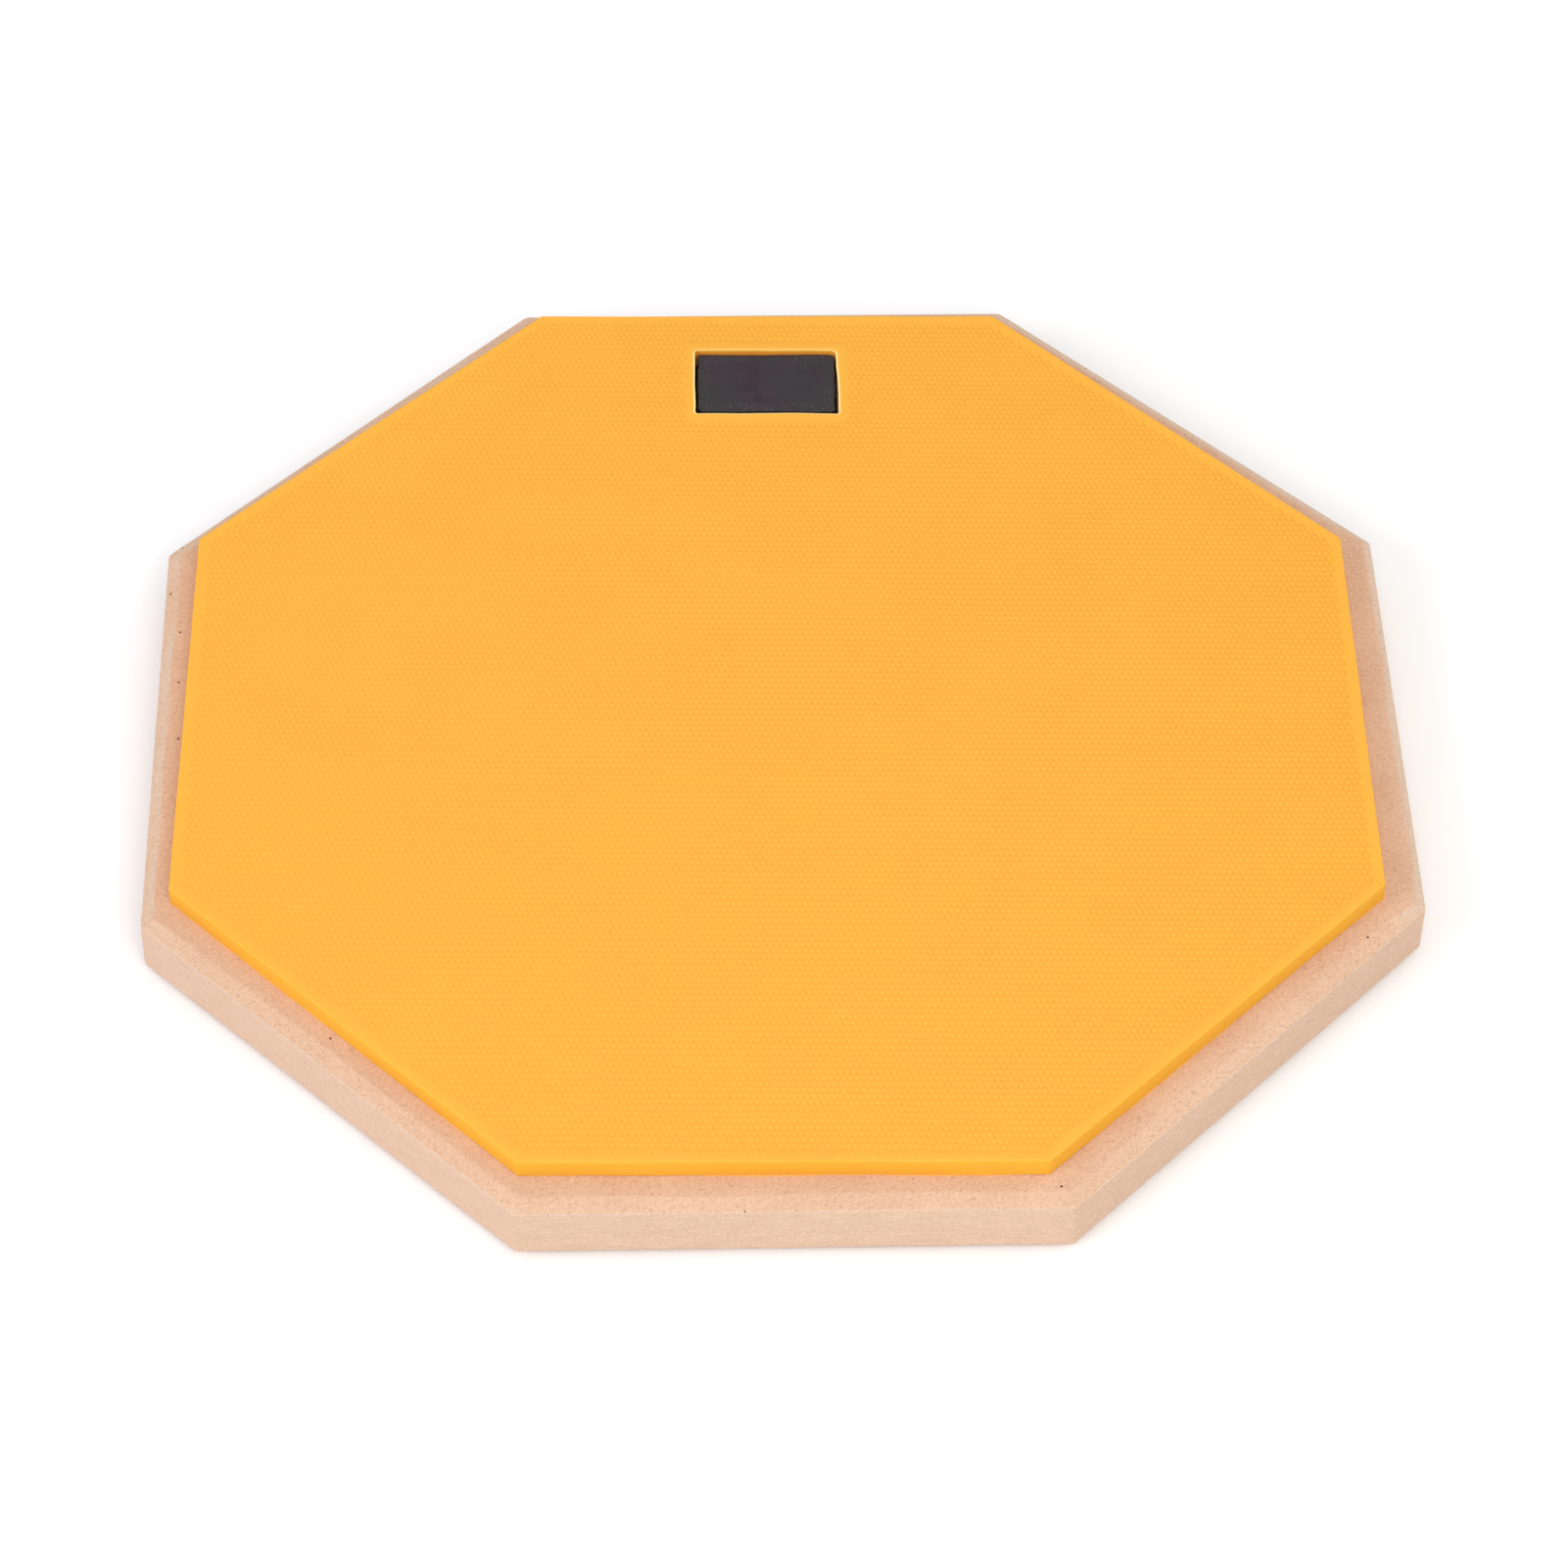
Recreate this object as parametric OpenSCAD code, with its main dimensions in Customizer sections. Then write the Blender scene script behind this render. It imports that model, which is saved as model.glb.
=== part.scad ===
// Octagonal drum practice pad that lies on a table or in a snare stand.
//
// A rubber playing sheet is bonded to a fibreboard base. A window near the back edge
// of the sheet holds a blank nameplate, and four round rubber feet are stuck underneath.
// Millimetres, +Z up, the player sits on the -Y side. The origin is on the resting
// plane, under the centre of the base board.

/* [Base board] */
// Width of the board across its flats
board_w = 305; // [250:5:360]
// Thickness of the board
board_t = 14.4; // [10:0.2:22]
// Width of the shallow bevel along the board's top edge
bevel_w = 3.8; // [1:0.2:8]
// Depth of that bevel
bevel_d = 1.3; // [0.5:0.1:4]
// Radius along the board's bottom edge
board_low_r = 1; // [0.5:0.5:2]
// Radius of the board's eight upright corners
board_corner_r = 4; // [1:0.5:8]

/* [Playing sheet] */
// Strip of board that the sheet leaves bare along each side
sheet_margin = 8.6; // [4:0.2:14]
// Thickness of the rubber sheet
sheet_t = 5; // [4:0.5:8]
// Radius along the sheet's edges, where the knife left them a little soft
sheet_edge_r = 0.4; // [0.2:0.1:0.8]
// Radius of the sheet's eight upright corners
sheet_corner_r = 1; // [1:0.5:3]
// How far the sheet lies to the right of the board's centre, negative to the left
sheet_shift_x = -0.8; // [-2:0.1:2]
// How far the sheet lies behind the board's centre
sheet_shift_y = 1.1; // [-2:0.1:2]
// Turn of the sheet on the board in degrees, anticlockwise seen from above
sheet_turn = -0.7; // [-1:0.1:1]

/* [Window and nameplate] */
// Width of the window in the sheet
window_w = 37; // [30:0.2:60]
// Depth of the window, from front to back
window_d = 24.4; // [18:0.2:34]
// How far the window lies to the right of the sheet's middle, negative to the left
window_x = -0.4; // [-4:0.1:4]
// Strip of sheet left behind the window
window_back = 13.9; // [6:0.1:60]
// Radius of the window's corners
window_corner_r = 0.8; // [0.4:0.1:2]
// Gap between the nameplate and each side of its window
plate_gap_x = 0.5; // [0.2:0.1:3]
// Gap between the nameplate and the front of its window
plate_gap_front = 1.9; // [0.2:0.1:3]
// Gap between the nameplate and the back of its window
plate_gap_back = 0.4; // [0.2:0.1:3]
// How far the nameplate's face lies below the playing surface
plate_recess = 1.1; // [0.5:0.1:2]
// Radius of the nameplate's corners
plate_corner_r = 1.2; // [1:0.1:3]
// Radius along the nameplate's top edge
plate_edge_r = 0.5; // [0.2:0.1:0.8]

/* [Feet] */
// Diameter of a rubber foot
foot_d = 30; // [20:1:45]
// Thickness of a rubber foot
foot_t = 2; // [1.5:0.5:5]
// Strip of board left outside each foot
foot_inset = 19.5; // [6:0.5:50]

/* [Adhesive] */
// Thickness of the glue film under the sheet and under the nameplate
glue_t = 0.1; // [0.05:0.05:0.3]
// How far the glue stops short of the piece that it holds
glue_inset = 0.5; // [0.2:0.1:2]
// Thickness of the double-sided film on each foot
tape_t = 0.2; // [0.1:0.1:0.5]

/* [Hidden] */

SIDES = 8;
SIDE_STEP = 360 / SIDES;
HALF_STEP = SIDE_STEP / 2;
// Directions from the centre to the four feet
FRONT_LEFT = 225;
FRONT_RIGHT = 315;
BACK_RIGHT = 45;
BACK_LEFT = 135;

board_z = foot_t + tape_t;
glue_z = board_z + board_t;
sheet_z = glue_z + glue_t;
sheet_w = board_w - 2 * sheet_margin;
window_y = sheet_w / 2 - window_back - window_d / 2;
foot_reach = board_w / 2 - foot_inset - foot_d / 2;
plate_t = sheet_t - plate_recess;
plate_w = window_w - 2 * plate_gap_x;
plate_d = window_d - plate_gap_front - plate_gap_back;
plate_shift_y = (plate_gap_front - plate_gap_back) / 2;
foot_edge_r = 0.5;
low_edge_r = 0.2;

$fa = 6;
$fs = 0.4;

// Half of a plate's cross-section with both edges rounded, from its middle outwards
module rounded_half(half_w, t, top_r, low_r) {
    translate([0, low_r]) square([half_w, t - low_r - top_r]);
    square([half_w - low_r, t - top_r]);
    square([half_w - top_r, t]);
    translate([half_w - top_r, t - top_r]) circle(top_r);
    translate([half_w - low_r, low_r]) circle(low_r);
}

// The same with a straight bevel along the top edge
module bevelled_half(half_w, t, bevel_w, bevel_d, low_r) {
    polygon([
        [0, low_r], [half_w, low_r], [half_w, t - bevel_d], [half_w - bevel_w, t], [0, t]
    ]);
    square([half_w - low_r, t - bevel_d]);
    translate([half_w - low_r, low_r]) circle(low_r);
}

// A bar of that length in Y whose cross-section is its children and their mirror image
module bar(length) {
    rotate([90, 0, 0])
        linear_extrude(length, center = true)
            for (side = [0, 1])
                mirror([side, 0])
                    children();
}

// Octagon with rounded corners, w across its flats
module octagon_outline(w, corner_r) {
    core_w = w - 2 * corner_r;
    core_r = core_w / 2 / cos(HALF_STEP);
    core_side = core_w * tan(HALF_STEP);
    rotate(HALF_STEP) circle(core_r, $fn = SIDES);
    for (turn = [0 : SIDE_STEP : 179])
        rotate(turn) square([w, core_side], center = true);
    for (turn = [HALF_STEP : SIDE_STEP : 359])
        rotate(turn) translate([core_r, 0]) circle(corner_r);
}

// Rectangle with rounded corners
module rectangle_outline(w, d, corner_r) {
    square([w - 2 * corner_r, d], center = true);
    square([w, d - 2 * corner_r], center = true);
    for (x = [-1, 1], y = [-1, 1])
        translate([x * (w / 2 - corner_r), y * (d / 2 - corner_r)])
            circle(corner_r);
}

// Octagonal plate, w across its flats, whose half cross-section is its children
module octagon_plate(w, t, corner_r) {
    intersection() {
        intersection_for(turn = [0 : SIDE_STEP : 179])
            rotate(turn) bar(w * 1.2) children();
        linear_extrude(t) octagon_outline(w, corner_r);
    }
}

// Rectangular plate with rounded corners and edges
module rectangle_plate(w, d, t, corner_r, top_r, low_r) {
    intersection() {
        bar(d * 1.2) rounded_half(w / 2, t, top_r, low_r);
        rotate(90) bar(w * 1.2) rounded_half(d / 2, t, top_r, low_r);
        linear_extrude(t) rectangle_outline(w, d, corner_r);
    }
}

// Puts its children where the sheet is glued, at height z
module on_sheet(z) {
    translate([sheet_shift_x, sheet_shift_y, z]) rotate(sheet_turn) children();
}

// The window's prism, wider than the window by grow on every side
module window_cut(t, grow = 0) {
    translate([window_x, window_y, -1])
        linear_extrude(t + 2)
            rectangle_outline(window_w + 2 * grow, window_d + 2 * grow, window_corner_r + grow);
}

module base_board() {
    color("#E3B998")
        translate([0, 0, board_z])
            octagon_plate(board_w, board_t, board_corner_r)
                bevelled_half(board_w / 2, board_t, bevel_w, bevel_d, board_low_r);
}

module playing_sheet() {
    color("#FCB94D")
        on_sheet(sheet_z)
            difference() {
                octagon_plate(sheet_w, sheet_t, sheet_corner_r)
                    rounded_half(sheet_w / 2, sheet_t, sheet_edge_r, low_edge_r);
                window_cut(sheet_t);
            }
}

module sheet_adhesive() {
    color("#D9C48A")
        on_sheet(glue_z)
            difference() {
                rotate(HALF_STEP)
                    cylinder(h = glue_t, r = (sheet_w / 2 - glue_inset) / cos(HALF_STEP), $fn = SIDES);
                window_cut(glue_t, glue_inset);
            }
}

module nameplate() {
    color("#463C42")
        on_sheet(sheet_z)
            translate([window_x, window_y + plate_shift_y, 0])
                rectangle_plate(plate_w, plate_d, plate_t, plate_corner_r, plate_edge_r, low_edge_r);
}

module nameplate_adhesive() {
    color("#D9C48A")
        on_sheet(glue_z)
            translate([window_x, window_y + plate_shift_y, 0])
                linear_extrude(glue_t)
                    rectangle_outline(plate_w - 2 * glue_inset, plate_d - 2 * glue_inset, plate_corner_r);
}

// Rubber foot in the given direction from the centre
module foot(direction) {
    color("#2B2B2D")
        rotate(direction)
            translate([foot_reach, 0, 0])
                rotate_extrude()
                    rounded_half(foot_d / 2, foot_t, low_edge_r, foot_edge_r);
}

// Double-sided film between that foot and the board
module foot_adhesive(direction) {
    color("#E8E6DC")
        rotate(direction)
            translate([foot_reach, 0, foot_t])
                cylinder(h = tape_t, d = foot_d - 2 * glue_inset);
}

base_board();
playing_sheet();
sheet_adhesive();
nameplate();
nameplate_adhesive();
foot(FRONT_LEFT);  // foot_front_left
foot(FRONT_RIGHT);  // foot_front_right
foot(BACK_RIGHT);  // foot_back_right
foot(BACK_LEFT);  // foot_back_left
foot_adhesive(FRONT_LEFT);  // foot_adhesive_front_left
foot_adhesive(FRONT_RIGHT);  // foot_adhesive_front_right
foot_adhesive(BACK_RIGHT);  // foot_adhesive_back_right
foot_adhesive(BACK_LEFT);  // foot_adhesive_back_left
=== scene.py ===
"""Looks of the octagonal drum practice pad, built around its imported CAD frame.

Metres, in the row frame: +Z up, the player on the -Y side, the pad resting on z = 0.
"""

import math

import bmesh
import bpy
import numpy as np
from mathutils import Matrix, Vector, noise
from mathutils.geometry import delaunay_2d_cdt


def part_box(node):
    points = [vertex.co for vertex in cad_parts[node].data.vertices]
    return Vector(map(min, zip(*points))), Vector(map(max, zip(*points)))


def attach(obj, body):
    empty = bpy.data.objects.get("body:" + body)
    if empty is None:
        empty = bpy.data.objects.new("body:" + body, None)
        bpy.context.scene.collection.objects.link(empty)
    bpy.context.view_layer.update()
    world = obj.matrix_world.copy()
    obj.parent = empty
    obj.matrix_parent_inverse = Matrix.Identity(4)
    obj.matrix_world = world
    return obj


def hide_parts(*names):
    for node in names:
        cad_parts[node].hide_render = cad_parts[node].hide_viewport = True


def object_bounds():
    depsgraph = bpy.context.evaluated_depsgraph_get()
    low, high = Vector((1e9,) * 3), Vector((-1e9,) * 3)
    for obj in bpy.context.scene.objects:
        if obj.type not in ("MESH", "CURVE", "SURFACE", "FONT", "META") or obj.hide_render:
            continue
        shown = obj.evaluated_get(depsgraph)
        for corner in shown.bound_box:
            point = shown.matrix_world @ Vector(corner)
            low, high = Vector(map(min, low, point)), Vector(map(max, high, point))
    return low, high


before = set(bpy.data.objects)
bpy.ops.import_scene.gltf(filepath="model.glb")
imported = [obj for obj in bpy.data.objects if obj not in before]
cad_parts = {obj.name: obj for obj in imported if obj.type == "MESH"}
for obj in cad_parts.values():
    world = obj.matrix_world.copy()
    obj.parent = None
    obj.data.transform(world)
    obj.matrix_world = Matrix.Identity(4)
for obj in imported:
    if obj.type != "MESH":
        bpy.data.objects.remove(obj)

MM = 0.001
SIDES = 8
# The turn from one side to the next.
STEP = 2 * math.pi / SIDES
# The least radius of a corner seen from above.
SHARPEST = 0.3 * MM
# What counts as the same height or place among the CAD's vertices.
TOUCHING = 0.01 * MM
cad_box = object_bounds()

# How the sheet lies on the board, and how its pattern lies on the sheet.
SHEET_TURN = math.radians(-0.7)
PATTERN_TURN = math.radians(-0.65)
DIAMOND_W = 1.53 * MM
DIAMOND_L = 3.70 * MM
DIAMOND_DEPTH = 0.4 * MM
DEEPER_TO_RIGHT = 0.18
PLAIN_RIM = 2.0 * MM
PLAIN_WINDOW_RIM = 2.1 * MM

# How far out each side lies from where a regular octagon's would, anticlockwise from the right one:
# set to come near the uneven sides in the photo.
SHEET_SHIFTS = [shift * MM for shift in (0.12, -0.3, -0.4, -0.5, 0.1, 0.5, -0.15, 0.1)]
BOARD_SHIFTS = [shift * MM for shift in (-0.15, -0.35, -0.5, -0.85, -0.35, 0.15, -0.28, -0.25)]
# How much narrower the bevel is along each of those sides, set in the same way.
BEVEL_SHIFTS = [shift * MM for shift in (1.9, 1.2, 0.2, 0.4, 0.7, 0.1, -0.35, -0.1)]
# The radius of each of the sheet's corners, from the one after its right side, also set.
SHEET_CORNERS = [radius * MM for radius in (2.0, 1.0, 1.0, 1.0, 1.0, 1.0, 1.0, 1.2)]


# ---------------------------------------------------------------- outlines

def smooth_step(low, high, value):
    t = min(1.0, max(0.0, (value - low) / (high - low)))
    return t * t * (3 - 2 * t)


def wander(place, scale, seed, size):
    """A smooth, repeatable wobble of at most about size, over distances of about scale."""
    return size * noise.noise(Vector((place.x / scale, place.y / scale, seed * 7.31)))


def along_sides(p, values):
    """Each side of an octagon has a value: the one at p, which changes over round the corners."""
    place = math.atan2(p.y, p.x) / STEP % SIDES
    before = int(place)
    share = smooth_step(0.4, 0.6, place - before)
    return values[before % SIDES] * (1 - share) + values[(before + 1) % SIDES] * share


def rounded_polygon(corners, radii, pieces):
    """Points and outward normals anticlockwise round a convex polygon, each side in so many pieces."""
    count = len(corners)
    arc_steps = 6
    arcs = []
    for i, here in enumerate(corners):
        to_here = (here - corners[i - 1]).normalized()
        onward = (corners[(i + 1) % count] - here).normalized()
        turn = to_here.angle(onward)
        normal = Vector((to_here.y, -to_here.x))
        centre = here - to_here * radii[i] * math.tan(turn / 2) - normal * radii[i]
        swings = [Matrix.Rotation(turn * k / arc_steps, 2) for k in range(arc_steps + 1)]
        arcs.append([(centre + swing @ normal * radii[i], swing @ normal) for swing in swings])
    points = []
    normals = []
    for i, arc in enumerate(arcs):
        start, normal = arc[-1]
        end = arcs[(i + 1) % count][0][0]
        side = [(start.lerp(end, k / pieces), normal) for k in range(1, pieces)]
        for point, direction in arc + side:
            points.append(point)
            normals.append(direction)
    return points, normals


def octagon(width, shifts, radii, pieces):
    """Outlines of an octagon, as a function of how far inside it the outline runs.

    It is about that wide across its flats. Each side, anticlockwise from the right one, lies its own
    shift further out, and each corner, from the one after that side, has its own radius.
    """
    def outline(inset):
        reach = [width / 2 + shift - inset for shift in shifts]
        corners = []
        for i in range(SIDES):
            before, after = reach[i], reach[(i + 1) % SIDES]
            bend = Vector((before, (after - before * math.cos(STEP)) / math.sin(STEP)))
            corners.append(Matrix.Rotation(STEP * i, 2) @ bend)
        return rounded_polygon(corners, [max(r - inset, SHARPEST) for r in radii], pieces)
    return outline


def rectangle(low, high, radii, pieces):
    """The same for a rectangle between two corners."""
    def outline(inset):
        left, right = low.x + inset, high.x - inset
        front, back = low.y + inset, high.y - inset
        corners = [Vector(place) for place in ((right, front), (right, back), (left, back), (left, front))]
        return rounded_polygon(corners, [max(r - inset, SHARPEST) for r in radii], pieces)
    return outline


def eased(corners):
    """(inset, height) pairs down a plate's edge.

    The edge runs through (inset, height, softness) corners and rounds each of them.
    """
    steps = 4
    line = [Vector(corners[0][:2])]
    for before, here, after in zip(corners, corners[1:], corners[2:]):
        corner = Vector(here[:2])
        softness = here[2]
        to_before = (Vector(before[:2]) - corner).normalized()
        to_after = (Vector(after[:2]) - corner).normalized()
        start = corner + to_before * softness
        end = corner + to_after * softness
        line.append(corner + to_before * softness * 1.8)
        for k in range(steps + 1):
            t = k / steps
            line.append(start.lerp(corner, t).lerp(corner.lerp(end, t), t))
        line.append(corner + to_after * softness * 1.8)
    line.append(Vector(corners[-1][:2]))
    return line


# ---------------------------------------------------------------- meshes

class Shell:
    """A mesh under construction, drawn in a piece's own axes and placed in the row frame.

    Each vertex carries a number, "tint", for its material: above 0 for a painted highlight on the sheet
    and for a greyer, dusty rim on the plate, near upper edges; below 0 for painted shade down walls and
    sides.
    """

    def __init__(self, origin=(0, 0, 0), turn=0.0):
        self.mesh = bmesh.new()
        self.tint = self.mesh.verts.layers.float.new("tint")
        self.place = Matrix.Translation(origin) @ Matrix.Rotation(turn, 4, "Z")

    def vertex(self, x, y, z, tint=0.0):
        made = self.mesh.verts.new(self.place @ Vector((x, y, z)))
        made[self.tint] = tint
        return made

    def face(self, corners, smooth=True):
        made = self.mesh.faces.new(corners)
        made.smooth = smooth

    def ring(self, points, height, tint=0.0):
        return [self.vertex(p.x, p.y, height, tint) for p in points]

    def band(self, upper, lower):
        """Quads between two closed rings of as many vertices."""
        count = len(upper)
        for i in range(count):
            j = (i + 1) % count
            self.face((upper[i], lower[i], lower[j], upper[j]))

    def wall(self, outline, profile, wobble=None, outward=1, tint=lambda p, inset, height: 0.0):
        """Bands down a profile. Wobble moves points outwards. For a hole's wall, outward is -1."""
        rings = []
        for inset, height in profile:
            points, normals = outline(inset * outward)
            if wobble:
                points = [p + n * wobble(p, height) for p, n in zip(points, normals)]
            rings.append([self.vertex(p.x, p.y, height, tint(p, inset, height)) for p in points])
        for upper, lower in zip(rings, rings[1:]):
            self.band(upper, lower)
        return rings

    def finish(self, name):
        """The mesh as a piece in the scene."""
        mesh = bpy.data.meshes.new(name)
        bmesh.ops.recalc_face_normals(self.mesh, faces=self.mesh.faces[:])
        self.mesh.to_mesh(mesh)
        self.mesh.free()
        piece = bpy.data.objects.new(name, mesh)
        bpy.context.scene.collection.objects.link(piece)
        return piece


def surrounded(points, loops):
    """For each point, whether an odd number of nested closed loops go round it."""
    starts = np.concatenate(loops)
    ends = np.concatenate([np.roll(loop, -1, axis=0) for loop in loops])
    rise = ends[:, 1] - starts[:, 1]
    run = (ends[:, 0] - starts[:, 0]) / np.where(rise == 0, 1, rise)
    x = points[:, 0, None]
    y = points[:, 1, None]
    spans = (starts[:, 1] > y) != (ends[:, 1] > y)
    crossing = starts[:, 0] + (y - starts[:, 1]) * run
    return (spans & (x < crossing)).sum(axis=1) % 2 == 1


def fill_between(shell, loops):
    """Triangles over the flat region between nested closed loops of vertices.

    Along a straight side with many points it can also leave stray slivers of hardly any area.
    """
    back = shell.place.inverted()
    vertices = [v for loop in loops for v in loop]
    flat = [(back @ v.co).to_2d() for v in vertices]
    edges = []
    outlines = []
    for loop in loops:
        first = len(edges)
        edges += [(first + k, first + (k + 1) % len(loop)) for k in range(len(loop))]
        outlines.append(np.array(flat[first:first + len(loop)]))
    points, _, triangles, originals, _, _ = delaunay_2d_cdt(flat, edges, [], 0, 1e-9)
    middles = np.array([sum((points[i] for i in t), Vector((0, 0))) / 3 for t in triangles])
    for triangle, wanted in zip(triangles, surrounded(middles, outlines)):
        if wanted:
            shell.face([vertices[originals[i][0]] for i in triangle])


def boundary_loops(cells):
    """Closed loops of grid keys round a set of unit cells, each cell named by its lower left key."""
    onward = {}
    for i, j in cells:
        ring = [(i, j), (i + 1, j), (i + 1, j + 1), (i, j + 1)]
        across = [(i, j - 1), (i + 1, j), (i, j + 1), (i - 1, j)]
        for k in range(4):
            if across[k] not in cells:
                onward.setdefault(ring[k], []).append(ring[(k + 1) % 4])
    loops = []
    while onward:
        start = min(onward)
        loop = [start]
        key = onward[start].pop()
        if not onward[start]:
            del onward[start]
        while key != start:
            loop.append(key)
            following = onward[key].pop()
            if not onward[key]:
                del onward[key]
            key = following
        loops.append(loop)
    return loops


# ---------------------------------------------------------------- places, from the frame

def in_sheet_axes(point):
    """A place in the row frame, in the axes of the slightly turned sheet."""
    return Matrix.Rotation(-SHEET_TURN, 3, "Z") @ (point - SHEET_CENTRE)


def extents(points):
    """Lowest and highest corner of the box round some points."""
    low = Vector([min(p[k] for p in points) for k in range(3)])
    high = Vector([max(p[k] for p in points) for k in range(3)])
    return low, high


def node_extents(node, near=None, reach=0.0):
    """Box round a node in the sheet's axes, or round only its vertices near one place."""
    points = [in_sheet_axes(v.co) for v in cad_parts[node].data.vertices]
    if near is not None:
        points = [p for p in points if (p - near).length < reach]
    return extents(points)


sheet_box_low, sheet_box_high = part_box("playing_sheet")
SHEET_CENTRE = (sheet_box_low + sheet_box_high) / 2
SHEET_CENTRE.z = sheet_box_low.z
SHEET_LOW, SHEET_HIGH = node_extents("playing_sheet")
SHEET_W = SHEET_HIGH.y - SHEET_LOW.y
SHEET_T = SHEET_HIGH.z
PLATE_LOW, PLATE_HIGH = node_extents("nameplate")
WINDOW_LOW, WINDOW_HIGH = node_extents("playing_sheet", (PLATE_LOW + PLATE_HIGH) / 2, 25 * MM)
BOARD_LOW, BOARD_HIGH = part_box("base_board")
BOARD_T = BOARD_HIGH.z - BOARD_LOW.z
board_points = [v.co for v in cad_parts["base_board"].data.vertices]
BEVEL_W = BOARD_HIGH.x - max(p.x for p in board_points if p.z > BOARD_HIGH.z - TOUCHING)
BEVEL_D = BOARD_HIGH.z - max(p.z for p in board_points if p.x > BOARD_HIGH.x - TOUCHING)


# ---------------------------------------------------------------- pieces

def grid_position(i, j):
    """Place of a pattern key in the sheet's axes.

    Peaks and valleys take turns like the squares of a chessboard.
    """
    return Matrix.Rotation(PATTERN_TURN, 2) @ Vector((i * DIAMOND_W / 2, j * DIAMOND_L / 2))


def distance_in_octagon(p, width):
    """Distance from p in to the nearest side of the octagon, negative outside."""
    return width / 2 - max(p.x * math.cos(STEP * k) + p.y * math.sin(STEP * k) for k in range(SIDES))


def distance_from_window(p):
    """Distance from p to the window's outline, negative inside."""
    dx = max(WINDOW_LOW.x - p.x, p.x - WINDOW_HIGH.x)
    dy = max(WINDOW_LOW.y - p.y, p.y - WINDOW_HIGH.y)
    if dx > 0 and dy > 0:
        return math.hypot(dx, dy)
    return max(dx, dy)


def build_pattern(shell):
    """The moulded field of long, low diamonds. It returns the closed loops of vertices round it."""
    lead = 0.3 * MM
    fade = 0.9 * MM
    columns = int(SHEET_W / DIAMOND_W) + 4
    rows = int(SHEET_W / DIAMOND_L) + 4
    places = {}
    for i in range(-columns, columns + 1):
        for j in range(-rows, rows + 1):
            p = grid_position(i, j)
            in_from_edge = distance_in_octagon(p, SHEET_W) > PLAIN_RIM - lead
            if in_from_edge and distance_from_window(p) > PLAIN_WINDOW_RIM - lead:
                places[i, j] = p
    cells = {
        (i, j) for i, j in places
        if (i + 1, j) in places and (i, j + 1) in places and (i + 1, j + 1) in places
    }
    kept = {}
    used = {key for i, j in cells for key in ((i, j), (i + 1, j), (i + 1, j + 1), (i, j + 1))}
    for i, j in sorted(used):
        p = places[i, j]
        moulded = smooth_step(PLAIN_RIM, PLAIN_RIM + fade, distance_in_octagon(p, SHEET_W))
        moulded *= smooth_step(PLAIN_WINDOW_RIM, PLAIN_WINDOW_RIM + fade, distance_from_window(p))
        depth = DIAMOND_DEPTH * (1 + DEEPER_TO_RIGHT * p.x / (SHEET_W / 2))
        drop = depth * moulded if (i + j) % 2 else 0.0
        kept[i, j] = shell.vertex(p.x, p.y, SHEET_T - drop)
    for i, j in sorted(cells):
        a, b, c, d = kept[i, j], kept[i + 1, j], kept[i + 1, j + 1], kept[i, j + 1]
        halves = ((a, b, c), (a, c, d)) if (i + j) % 2 else ((a, b, d), (b, c, d))
        for half in halves:
            shell.face(half, smooth=False)
    return [[kept[key] for key in loop] for loop in boundary_loops(cells)]


def window_tint(p, inset, height):
    """A painted highlight along the window's top edge, least at the back, and painted shade deep down its
    wall.
    """
    drop = SHEET_T - height
    # Painted highlight on the top edge, then painted shade down the wall.
    painted_highlight = 1 - smooth_step(0.2 * MM, 0.6 * MM, max(inset, drop))
    painted_highlight *= 1 - 0.7 * smooth_step(WINDOW_HIGH.y - 1.5 * MM, WINDOW_HIGH.y, p.y)
    return painted_highlight - smooth_step(0.4 * MM, 0.9 * MM, drop)


def build_playing_sheet():
    """The rubber sheet: uneven edges, a window, and the pattern between plain rims."""
    shell = Shell(SHEET_CENTRE, SHEET_TURN)
    profile = eased([
        (0.8 * MM, SHEET_T),
        (0.0, SHEET_T, 0.35 * MM),
        (0.0, 0.0, 0.15 * MM),
        (0.6 * MM, 0.0),
    ])

    def knife_cut(p, height):
        foot = 1 - smooth_step(0.0, 0.6 * MM, height)
        undercut = foot * min(max(wander(p, 45 * MM, 13, 0.7 * MM), 0.0), 0.16 * MM)
        slope = wander(p, 9 * MM, 2 + height / SHEET_T * 0.1, 0.08 * MM)
        return wander(p, 38 * MM, 1, 0.2 * MM) + slope - undercut

    outside = shell.wall(octagon(SHEET_W, SHEET_SHIFTS, SHEET_CORNERS, 44), profile, knife_cut)

    def hand_cut(p, height):
        return wander(p, 14 * MM, 3, 0.3 * MM) + wander(p, 3 * MM, 4 + height / SHEET_T * 0.15, 0.1 * MM)

    radii = [r * MM for r in (0.6, 1.4, 0.6, 0.8)]
    window = shell.wall(rectangle(WINDOW_LOW, WINDOW_HIGH, radii, 24), profile, hand_cut, -1, window_tint)
    fill_between(shell, [outside[0], *build_pattern(shell), window[0]])
    fill_between(shell, [outside[-1], window[-1]])
    return shell.finish("playing_sheet_rubber")


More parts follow.
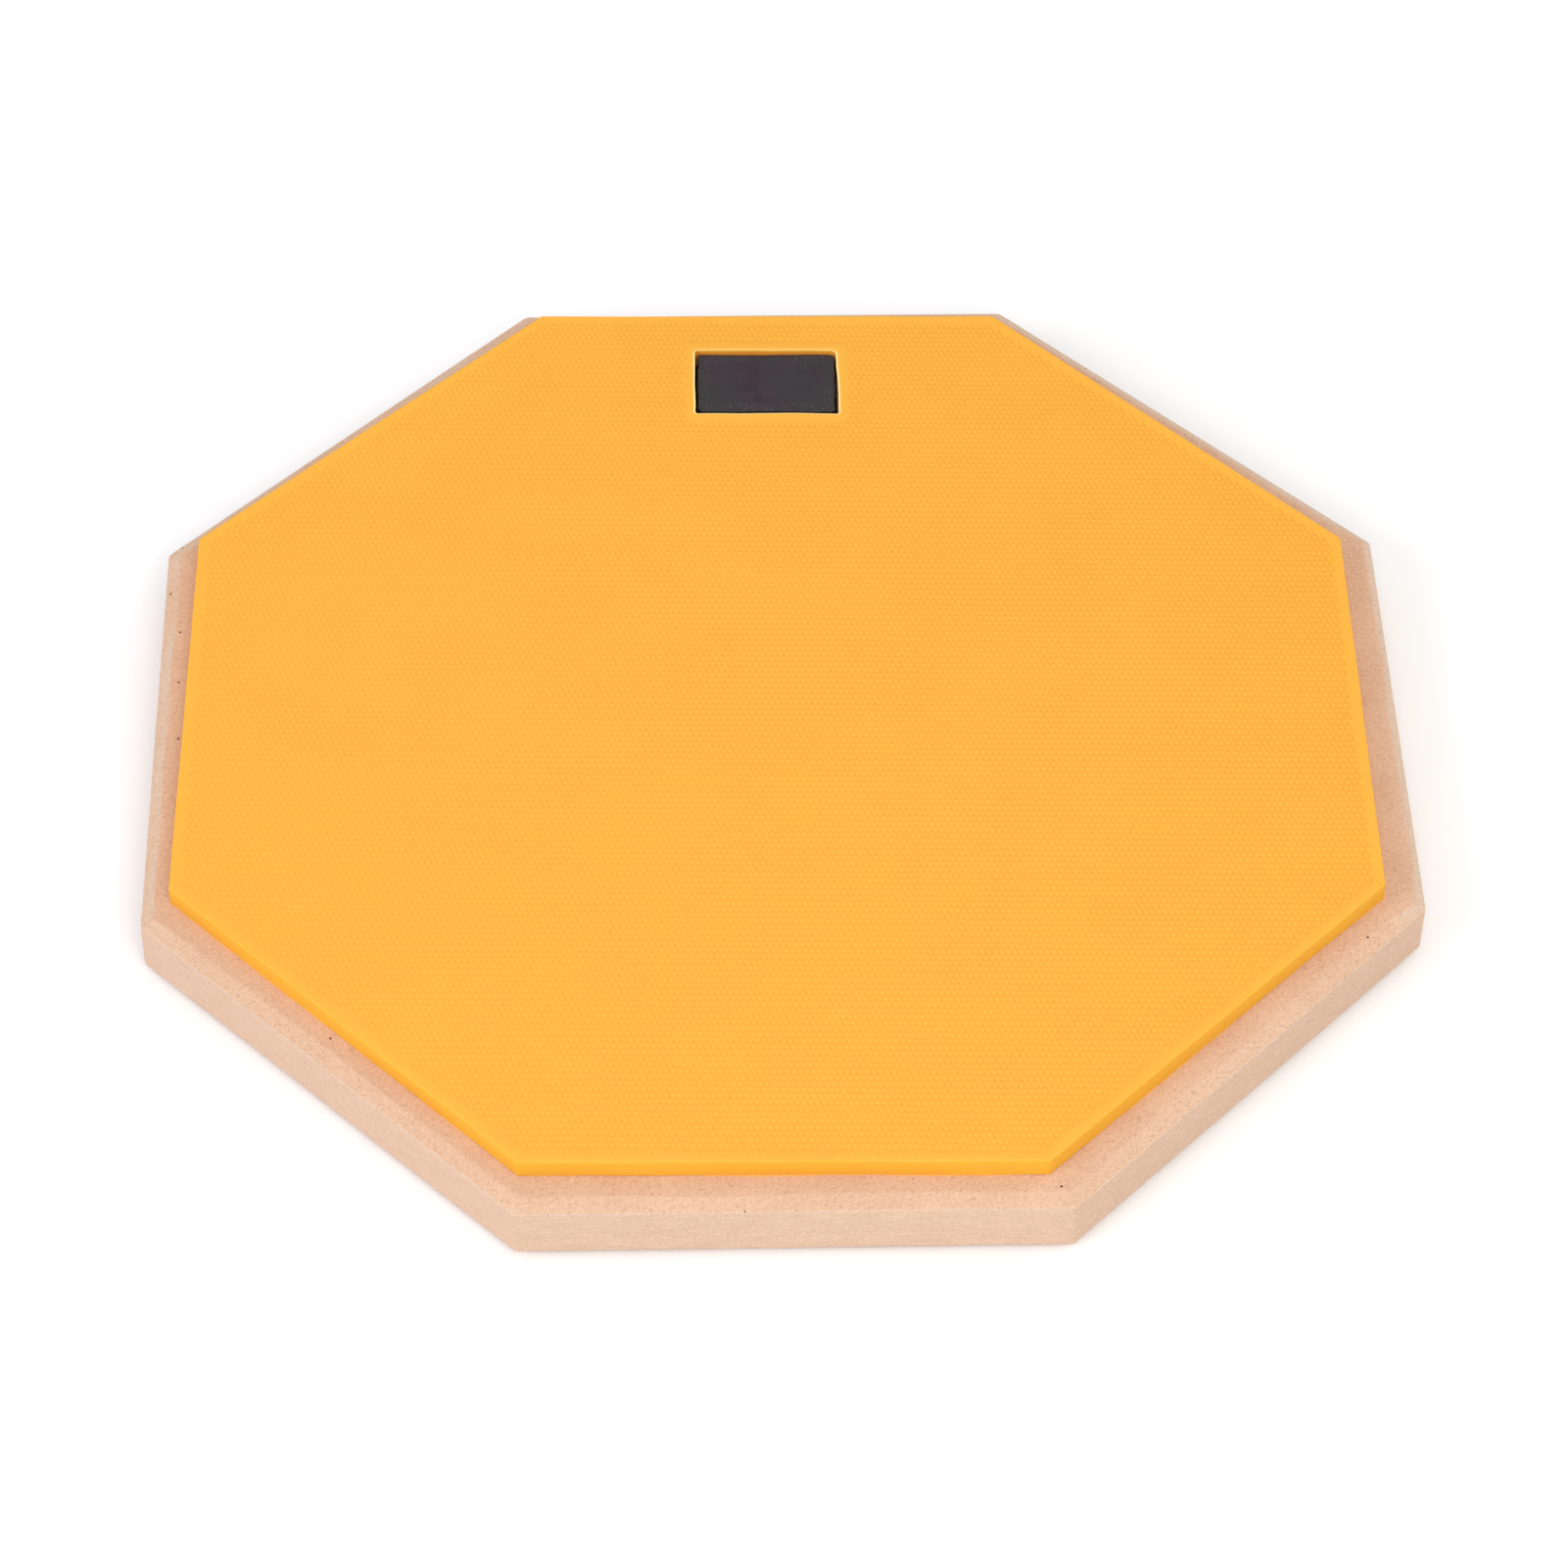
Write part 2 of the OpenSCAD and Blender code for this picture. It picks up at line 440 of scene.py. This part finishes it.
def build_base_board():
    """The fibreboard: a shallow uneven bevel round the top, and rounded corners."""
    middle = (BOARD_LOW + BOARD_HIGH) / 2
    shell = Shell((middle.x, middle.y, BOARD_LOW.z))
    corner_radii = [r * MM for r in (1.3, 2.5, 2.5, 2.4, 2.4, 1.5, 1.6, 2.4)]
    profile = eased([
        (BEVEL_W + 2.5 * MM, BOARD_T),
        (BEVEL_W, BOARD_T, 0.45 * MM),
        (0.0, BOARD_T - BEVEL_D, 0.25 * MM),
        (0.0, 0.0, 0.7 * MM),
        (3.0 * MM, 0.0),
    ])

    def sanded(p, height):
        top = smooth_step(BOARD_T - 0.8 * MM, BOARD_T, height)
        bevel = along_sides(p, BEVEL_SHIFTS) + wander(p, 30 * MM, 6, 0.9 * MM)
        return wander(p, 60 * MM, 5, 0.16 * MM) + top * bevel

    outline = octagon(BOARD_HIGH.x - BOARD_LOW.x, BOARD_SHIFTS, corner_radii, 36)
    rings = shell.wall(outline, profile, sanded)
    fill_between(shell, [rings[0]])
    fill_between(shell, [rings[-1]])
    return shell.finish("base_board_fibreboard")


def build_sheet_adhesive():
    """The glue film under the sheet, squeezed out a little here and there."""
    low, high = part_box("sheet_adhesive")
    thickness = high.z - low.z
    shell = Shell((SHEET_CENTRE.x, SHEET_CENTRE.y, low.z), SHEET_TURN)
    profile = [(0.05 * MM, thickness), (0.0, thickness / 2), (0.0, 0.0)]

    def squeezed_out(p, height):
        bead = wander(p, 30 * MM, 8, 0.7 * MM) + wander(p, 5 * MM, 9, 0.3 * MM)
        return max(bead, -0.4 * MM) + 0.1 * MM - 0.15 * MM * height / thickness

    outside = shell.wall(octagon(SHEET_W, SHEET_SHIFTS, SHEET_CORNERS, 60), profile, squeezed_out)

    def set_back(p, height):
        return 0.4 * MM + wander(p, 6 * MM, 10, 0.2 * MM)

    window = shell.wall(rectangle(WINDOW_LOW, WINDOW_HIGH, [0.8 * MM] * 4, 24), profile, set_back, -1)
    fill_between(shell, [outside[0], window[0]])
    fill_between(shell, [outside[-1], window[-1]])
    return shell.finish("sheet_adhesive_film")


def build_plate(name, low, high, softness, seed, wobble_size, dish=0.0):
    """A small plate between two corners, with uneven edges and a face that is hollow by the dish."""
    thickness = high.z - low.z
    shell = Shell(SHEET_CENTRE + Vector((0, 0, low.z)), SHEET_TURN)
    outline = rectangle(low, high, [r * MM for r in (1.1, 1.6, 1.2, 1.6)], 48)

    def cut(p, height):
        coarse = wander(p, 7 * MM, seed, wobble_size)
        fine = wander(p, 1.6 * MM, seed, wobble_size / 2)
        return coarse + fine - wobble_size / 2

    profile = eased([
        (softness * 2.5, thickness),
        (0.0, thickness, softness),
        (0.0, 0.0, softness / 3),
        (softness * 2.5, 0.0),
    ])

    # 1 along the top edge, for the dust, down to -1 down the sides, for painted shade.
    def edge_tint(p, inset, height):
        return 1 - 2 * smooth_step(0.1 * MM, 0.4 * MM, thickness - height)

    rings = shell.wall(outline, profile, cut, 1, edge_tint)
    inner = rings[0]
    for share in (0.15, 0.3, 0.5, 0.8):
        hollow = smooth_step(0.0, 0.6, share)
        ring = shell.ring(outline(share * (high.y - low.y) / 2)[0], thickness - dish * hollow, 1 - hollow)
        shell.band(ring, inner)
        inner = ring
    fill_between(shell, [inner])
    fill_between(shell, [rings[-1]])
    return shell.finish(name)


def build_nameplate():
    """The dark plate in the window, left blank."""
    return build_plate(
        "nameplate_blank", PLATE_LOW, PLATE_HIGH,
        softness=0.45 * MM, seed=11, wobble_size=0.3 * MM, dish=0.05 * MM,
    )


def build_nameplate_adhesive():
    """The black glue, which covers the whole floor of the window, its black a painted shade for the gap
    round the plate.
    """
    low, high = node_extents("nameplate_adhesive")
    low.xy = WINDOW_LOW.xy
    high.xy = WINDOW_HIGH.xy
    return build_plate(
        "nameplate_adhesive_film", low, high,
        softness=0.03 * MM, seed=12, wobble_size=0.2 * MM,
    )


def build_foot(node):
    """A round rubber foot with a well rounded lower edge. The photo shows no feet: they are a guess."""
    low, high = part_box(node)
    middle = (low + high) / 2
    radius = (high.x - low.x) / 2
    thickness = high.z - low.z
    shell = Shell((middle.x, middle.y, low.z))
    around = 96
    angles = [2 * math.pi * k / around for k in range(around)]
    directions = [Vector((math.cos(a), math.sin(a))) for a in angles]

    def circle(inset):
        return [d * (radius - inset) for d in directions], directions

    profile = eased([
        (1.0 * MM, thickness),
        (0.0, thickness, 0.15 * MM),
        (0.0, 0.0, 0.5 * MM),
        (2.0 * MM, 0.0),
    ])
    rings = shell.wall(circle, profile)
    fill_between(shell, [rings[0]])
    fill_between(shell, [rings[-1]])
    return shell.finish(node + "_rubber")


# ---------------------------------------------------------------- materials

class Shader:
    """A material under construction, with short calls that add its nodes.

    Lengths in it are millimetres.
    """

    def __init__(self, name, roughness, **constants):
        self.material = bpy.data.materials.new(name)
        self.material.use_nodes = True
        self.tree = self.material.node_tree
        self.tree.nodes.clear()
        output = self.tree.nodes.new("ShaderNodeOutputMaterial")
        self.surface = self.tree.nodes.new("ShaderNodeBsdfPrincipled")
        self.tree.links.new(self.surface.outputs[0], output.inputs[0])
        self.surface.inputs["Roughness"].default_value = roughness
        for key, value in constants.items():
            self.surface.inputs[key.replace("_", " ")].default_value = value
        coordinates = self.tree.nodes.new("ShaderNodeTexCoord")
        self.place = self.vector("SCALE", coordinates.outputs["Object"], scale=1 / MM)

    def set(self, socket, value):
        """Links the socket to another, or gives it a plain value."""
        if isinstance(value, bpy.types.NodeSocket):
            self.tree.links.new(value, socket)
        else:
            socket.default_value = value

    def vector(self, operation, a, b=None, scale=None):
        made = self.tree.nodes.new("ShaderNodeVectorMath")
        made.operation = operation
        self.set(made.inputs[0], a)
        if b is not None:
            self.set(made.inputs[1], b)
        if scale is not None:
            self.set(made.inputs["Scale"], scale)
        return made.outputs[0]

    def math(self, operation, a, b=0.0):
        made = self.tree.nodes.new("ShaderNodeMath")
        made.operation = operation
        self.set(made.inputs[0], a)
        self.set(made.inputs[1], b)
        return made.outputs[0]

    def spread(self, value, low, high, to_low=0.0, to_high=1.0):
        """Value from low to high, clamped and eased, as to_low to to_high."""
        made = self.tree.nodes.new("ShaderNodeMapRange")
        made.interpolation_type = "SMOOTHSTEP"
        self.set(made.inputs["Value"], value)
        limits = {"From Min": low, "From Max": high, "To Min": to_low, "To Max": to_high}
        for key, number in limits.items():
            made.inputs[key].default_value = number
        return made.outputs[0]

    def stretched(self, sizes, turn=0.0):
        """The place with each axis divided by a size in millimetres, after a turn about Z."""
        made = self.tree.nodes.new("ShaderNodeVectorRotate")
        made.rotation_type = "Z_AXIS"
        made.inputs["Angle"].default_value = turn
        self.set(made.inputs["Vector"], self.place)
        return self.vector("DIVIDE", made.outputs[0], sizes)

    def noise(self, size=1.0, detail=2.0, roughness=0.5, vector=None, distortion=0.0):
        made = self.tree.nodes.new("ShaderNodeTexNoise")
        made.inputs["Scale"].default_value = 1 / size
        made.inputs["Detail"].default_value = detail
        made.inputs["Roughness"].default_value = roughness
        made.inputs["Distortion"].default_value = distortion
        self.set(made.inputs["Vector"], vector or self.place)
        return made.outputs[0]

    def specks(self, spacing, radius, share):
        """1 in small round specks seen from above.

        There is one place for each spacing, and that share of the places holds a speck.
        """
        made = self.tree.nodes.new("ShaderNodeTexVoronoi")
        made.voronoi_dimensions = "2D"
        made.inputs["Scale"].default_value = 1 / spacing
        self.set(made.inputs["Vector"], self.place)
        chance = self.tree.nodes.new("ShaderNodeSeparateColor")
        self.set(chance.inputs[0], made.outputs["Color"])
        near = self.spread(made.outputs["Distance"], radius / spacing, radius * 0.7 / spacing)
        return self.math("MULTIPLY", near, self.math("LESS_THAN", chance.outputs[0], share))

    def mix(self, share, a, b):
        """Colour a, or b in that share."""
        made = self.tree.nodes.new("ShaderNodeMix")
        made.data_type = "RGBA"
        self.set(made.inputs[0], share)
        self.set(made.inputs[6], a)
        self.set(made.inputs[7], b)
        return made.outputs[2]

    def bump(self, height, distance):
        """Relief whose height, from 0 to 1, stands for that many millimetres."""
        made = self.tree.nodes.new("ShaderNodeBump")
        made.inputs["Distance"].default_value = distance * MM
        self.set(made.inputs["Height"], height)
        self.tree.links.new(made.outputs[0], self.surface.inputs["Normal"])

    def colour(self, value):
        self.set(self.surface.inputs["Base Color"], value)

    def roughness(self, value):
        self.set(self.surface.inputs["Roughness"], value)

    def facing_up(self):
        """The height part of the surface's own normal: 1 on top faces, 0 on upright ones."""
        geometry = self.tree.nodes.new("ShaderNodeNewGeometry")
        parts = self.tree.nodes.new("ShaderNodeSeparateXYZ")
        self.set(parts.inputs[0], geometry.outputs["Normal"])
        return parts.outputs[2]

    def amount(self, name):
        """A number that the mesh carries at each vertex."""
        made = self.tree.nodes.new("ShaderNodeAttribute")
        made.attribute_name = name
        return made.outputs["Fac"]


def srgb(red, green, blue):
    """A colour given as it looks on a screen, from 0 to 255, as the linear one that shaders use."""
    def linear(c):
        c /= 255
        return c / 12.92 if c <= 0.04045 else ((c + 0.055) / 1.055) ** 2.4
    return (linear(red), linear(green), linear(blue), 1.0)


def orange_rubber():
    """Matt rubber: a grainy face, plainer sides painted darker, a painted highlight and painted shade."""
    look = Shader("orange_rubber", 0.62, Specular_IOR_Level=0.15)
    up = look.facing_up()
    on_top = look.spread(up, 0.9, 0.93)
    clouds = look.spread(look.noise(26, 3, 0.6), 0.35, 0.65)
    grain = look.spread(look.noise(0.45, 2, 0.6), 0.3, 0.7)
    face = look.mix(clouds, srgb(240, 171, 61), srgb(243, 175, 63))
    face = look.mix(grain, face, srgb(244, 178, 67))
    # Painted shade: the upright cut sides are darker and more saturated than the face, which stays paler
    # as if lit by a sheen.
    cut = look.mix(grain, srgb(232, 167, 50), srgb(238, 175, 57))
    tone = look.mix(look.spread(up, 0.3, 0.85), cut, face)
    tint = look.amount("tint")
    # Painted highlight along the window's top edge, where tint is above 0.
    tone = look.mix(tint, tone, srgb(255, 232, 160))
    # Painted shade, a deeper orange, down the window's wall, where tint is below 0.
    tone = look.mix(look.math("MULTIPLY", tint, -1.0), tone, srgb(237, 133, 55))
    handled = look.spread(look.noise(60, 1), 0.5, 0.62)
    smudges = look.math("MULTIPLY", look.spread(look.noise(9, 4, 0.75), 0.62, 0.8), handled)
    tone = look.mix(look.math("MULTIPLY", smudges, 0.35), tone, srgb(236, 184, 84))
    specks = look.math("MULTIPLY", look.specks(42, 0.4, 0.6), on_top)
    tone = look.mix(look.math("MULTIPLY", specks, 0.7), tone, srgb(120, 76, 34))
    look.colour(tone)
    look.roughness(look.spread(look.noise(14, 3), 0.3, 0.7, 0.55, 0.68))
    look.bump(look.noise(0.3, 3, 0.65), 0.02)
    return look.material


def fibreboard():
    """Fibreboard: matted fibres on top, painted light on the steeper bevels, and the pressed layers
    showing on the sides.
    """
    look = Shader("fibreboard", 0.8, Specular_IOR_Level=0.25)
    level = look.math("ABSOLUTE", look.facing_up())
    on_face = look.spread(level, 0.965, 0.99)
    on_side = look.spread(level, 0.8, 0.3)
    clouds = look.spread(look.noise(18, 3, 0.6), 0.35, 0.65)
    powder = look.noise(0.55, 2, 0.7)
    fibre_a = look.noise(1.0, 2, 0.6, look.stretched((0.3, 1.3, 0.5), 0.5), 0.5)
    fibre_b = look.noise(1.0, 2, 0.6, look.stretched((1.2, 0.3, 0.5), -0.3), 0.5)
    pale_fibres = look.spread(look.math("MAXIMUM", fibre_a, fibre_b), 0.55, 0.72)
    dark_fibres = look.spread(look.math("MINIMUM", fibre_a, fibre_b), 0.45, 0.3)
    layers = look.noise(1.0, 2, 0.5, look.stretched((5, 5, 0.35)))
    # The flat faces, the core laid bare by the bevel, and the sides, which show the layers.
    face = look.mix(clouds, srgb(212, 169, 139), srgb(217, 176, 146))
    core = look.mix(clouds, srgb(213, 173, 142), srgb(218, 179, 148))
    # Painted light: paler and cooler where the bevel is steeper, as if the steep bevels at the left and
    # right catch the side light.
    core = look.mix(look.spread(level, 0.945, 0.91), core, srgb(212, 185, 162))
    side = look.mix(look.spread(layers, 0.3, 0.7), srgb(197, 164, 140), srgb(208, 177, 153))
    tone = look.mix(on_side, look.mix(on_face, core, face), side)
    tone = look.mix(look.spread(powder, 0.35, 0.65, 0.0, 0.35), tone, srgb(226, 193, 168))
    tone = look.mix(look.math("MULTIPLY", pale_fibres, 0.35), tone, srgb(238, 208, 184))
    dark_share = look.math("MULTIPLY", dark_fibres, look.spread(level, 0.3, 0.8, 0.25, 0.53))
    tone = look.mix(dark_share, tone, srgb(178, 130, 107))
    pores = look.math("MULTIPLY", look.specks(5, 0.2, 0.35), look.spread(level, 0.85, 0.95, 0.0, 0.6))
    tone = look.mix(pores, tone, srgb(118, 76, 60))
    specks = look.math("MULTIPLY", look.specks(19, 0.35, 0.45), look.spread(level, 0.85, 0.95))
    tone = look.mix(specks, tone, srgb(48, 26, 22))
    look.colour(tone)
    look.roughness(look.spread(powder, 0.3, 0.7, 0.74, 0.88))
    relief = look.math("ADD", look.math("MULTIPLY", powder, 0.6), look.math("MULTIPLY", layers, 0.4))
    look.bump(relief, 0.08)
    return look.material


def dark_plastic():
    """Dull dark plastic, dusty near its upper edge, and painted nearly black down its sides as shade."""
    look = Shader("dark_plastic", 0.42, Specular_IOR_Level=0.3)
    clouds = look.spread(look.noise(6, 3, 0.6), 0.3, 0.7)
    tone = look.mix(clouds, srgb(46, 33, 42), srgb(61, 41, 54))
    tone = look.mix(look.spread(look.noise(13, 2), 0.48, 0.62), tone, srgb(50, 43, 47))
    tint = look.amount("tint")
    near_edge = look.spread(tint, 0.1, 0.9)
    tone = look.mix(look.math("MULTIPLY", near_edge, 0.5), tone, srgb(46, 46, 44))
    dusty = look.spread(near_edge, 0.3, 1.0, 0.1, 1.0)
    dust = look.math("MULTIPLY", look.spread(look.noise(0.5, 4, 0.7), 0.56, 0.7), dusty)
    tone = look.mix(look.math("MULTIPLY", dust, 0.5), tone, srgb(140, 146, 136))
    # Painted shade: nearly black, raggedly, down the sides, where tint is below 0.
    ragged = look.math("MULTIPLY", look.math("SUBTRACT", look.noise(1.5, 3, 0.7), 0.5), 0.6)
    tone = look.mix(look.spread(look.math("SUBTRACT", ragged, tint), 0.2, 0.6), tone, srgb(13, 9, 10))
    look.colour(tone)
    look.roughness(look.spread(look.noise(2.5, 4, 0.7), 0.3, 0.7, 0.34, 0.52))
    look.bump(look.noise(0.25, 3, 0.6), 0.008)
    return look.material


def dried_glue():
    look = Shader("dried_glue", 0.35, Specular_IOR_Level=0.5)
    look.colour(look.mix(look.noise(2.0, 3), srgb(222, 156, 80), srgb(238, 182, 106)))
    look.roughness(look.spread(look.noise(1.5, 3), 0.3, 0.7, 0.28, 0.5))
    look.bump(look.noise(0.8, 3), 0.05)
    return look.material


def painted_shade_glue():
    look = Shader("painted_shade_glue", 0.6, Specular_IOR_Level=0.3)
    # Black as painted shade for the gap round the plate.
    look.colour(look.mix(look.noise(1.2, 3), srgb(14, 9, 9), srgb(34, 24, 22)))
    look.roughness(look.spread(look.noise(1.5, 3), 0.3, 0.7, 0.5, 0.75))
    look.bump(look.noise(0.6, 3), 0.04)
    return look.material


def foot_rubber():
    look = Shader("foot_rubber", 0.75, Specular_IOR_Level=0.3)
    tone = look.mix(look.spread(look.noise(1.6, 4, 0.7), 0.3, 0.7), srgb(34, 34, 36), srgb(52, 52, 54))
    look.colour(tone)
    look.roughness(look.spread(look.noise(4, 3), 0.3, 0.7, 0.66, 0.84))
    look.bump(look.noise(0.35, 3, 0.7), 0.05)
    return look.material


def foot_tape():
    look = Shader("foot_tape", 0.6, Specular_IOR_Level=0.4)
    mottle = look.spread(look.noise(0.6, 3, 0.6), 0.3, 0.7)
    look.colour(look.mix(mottle, srgb(214, 210, 200), srgb(236, 233, 224)))
    look.bump(look.noise(0.4, 3, 0.6), 0.03)
    return look.material


def white_floor():
    look = Shader("white_floor", 0.9, Specular_IOR_Level=0.1)
    look.colour(look.mix(look.noise(300, 2), srgb(253, 253, 253), srgb(254, 254, 254)))
    return look.material


# ---------------------------------------------------------------- camera, light and floor

def towards(azimuth, elevation):
    """The direction, from the pad, of a place given in degrees. Azimuth 0 is the player's side."""
    turn = math.radians(azimuth)
    rise = math.radians(elevation)
    return Vector((math.sin(turn) * math.cos(rise), -math.cos(turn) * math.cos(rise), math.sin(rise)))


def add_camera():
    """The view from the front, a little left of the middle, and well above the pad."""
    back = towards(-2.61, 46.50)
    roll = math.radians(1.29)
    distance = 1262.7 * MM
    aim = Vector((1.1 * MM, -15.2 * MM, (cad_box[0].z + cad_box[1].z) / 2))
    camera = bpy.data.objects.new("camera", bpy.data.cameras.new("camera"))
    camera.data.sensor_width = 36.0
    camera.data.lens = 118.9
    camera.data.clip_start = 0.05
    camera.data.clip_end = 50.0
    camera.location = aim + back * distance
    camera.rotation_mode = "QUATERNION"
    level = (-back).to_track_quat("-Z", "Y")
    camera.rotation_quaternion = level @ Matrix.Rotation(roll, 3, "Z").to_quaternion()
    bpy.context.scene.collection.objects.link(camera)
    bpy.context.scene.camera = camera


def add_softbox(name, azimuth, elevation, distance, size, power, colour):
    """A square area light that looks at the pad."""
    back = towards(azimuth, elevation)
    data = bpy.data.lights.new(name, "AREA")
    data.shape = "SQUARE"
    data.size = size
    data.energy = power
    data.color = colour
    light = bpy.data.objects.new(name, data)
    light.location = back * distance
    light.rotation_mode = "QUATERNION"
    light.rotation_quaternion = (-back).to_track_quat("-Z", "Y")
    bpy.context.scene.collection.objects.link(light)


def add_studio():
    """Even white light from all round, with soft light from the left, the front and the right."""
    world = bpy.data.worlds.new("studio")
    bpy.context.scene.world = world
    world.use_nodes = True
    background = world.node_tree.nodes["Background"]
    background.inputs["Color"].default_value = (1, 1, 1, 1)
    background.inputs["Strength"].default_value = 0.67
    add_softbox(
        "fill_left", azimuth=-60, elevation=30, distance=4.0,
        size=2.0, power=56.0, colour=(0.99, 1.0, 1.12),
    )
    add_softbox(
        "key_front", azimuth=9, elevation=44, distance=1.35,
        size=0.7, power=7.0, colour=(1.0, 1.0, 0.94),
    )
    add_softbox(
        "fill_right", azimuth=118, elevation=20, distance=4.0,
        size=2.0, power=38.5, colour=(0.98, 1.0, 1.04),
    )
    bpy.context.scene.view_settings.view_transform = "Standard"


def add_floor():
    shell = Shell()
    reach = 6.0
    corners = ((-reach, -reach), (reach, -reach), (reach, reach), (-reach, reach))
    shell.face([shell.vertex(x, y, 0.0) for x, y in corners])
    floor = shell.finish("floor")
    floor.data.materials.append(white_floor())


# ---------------------------------------------------------------- assembly

def settle(piece, node, material):
    """The piece stands for that CAD node, in its material."""
    piece.data.materials.clear()
    piece.data.materials.append(material)
    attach(piece, "root")
    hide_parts(node)


add_camera()
add_studio()
add_floor()

settle(build_base_board(), "base_board", fibreboard())
settle(build_playing_sheet(), "playing_sheet", orange_rubber())
settle(build_sheet_adhesive(), "sheet_adhesive", dried_glue())
settle(build_nameplate(), "nameplate", dark_plastic())
settle(build_nameplate_adhesive(), "nameplate_adhesive", painted_shade_glue())
rubber = foot_rubber()
tape = foot_tape()
for corner in ("front_left", "front_right", "back_right", "back_left"):
    settle(build_foot("foot_" + corner), "foot_" + corner, rubber)
    tape_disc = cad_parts["foot_adhesive_" + corner]
    tape_disc.data.materials.clear()
    tape_disc.data.materials.append(tape)
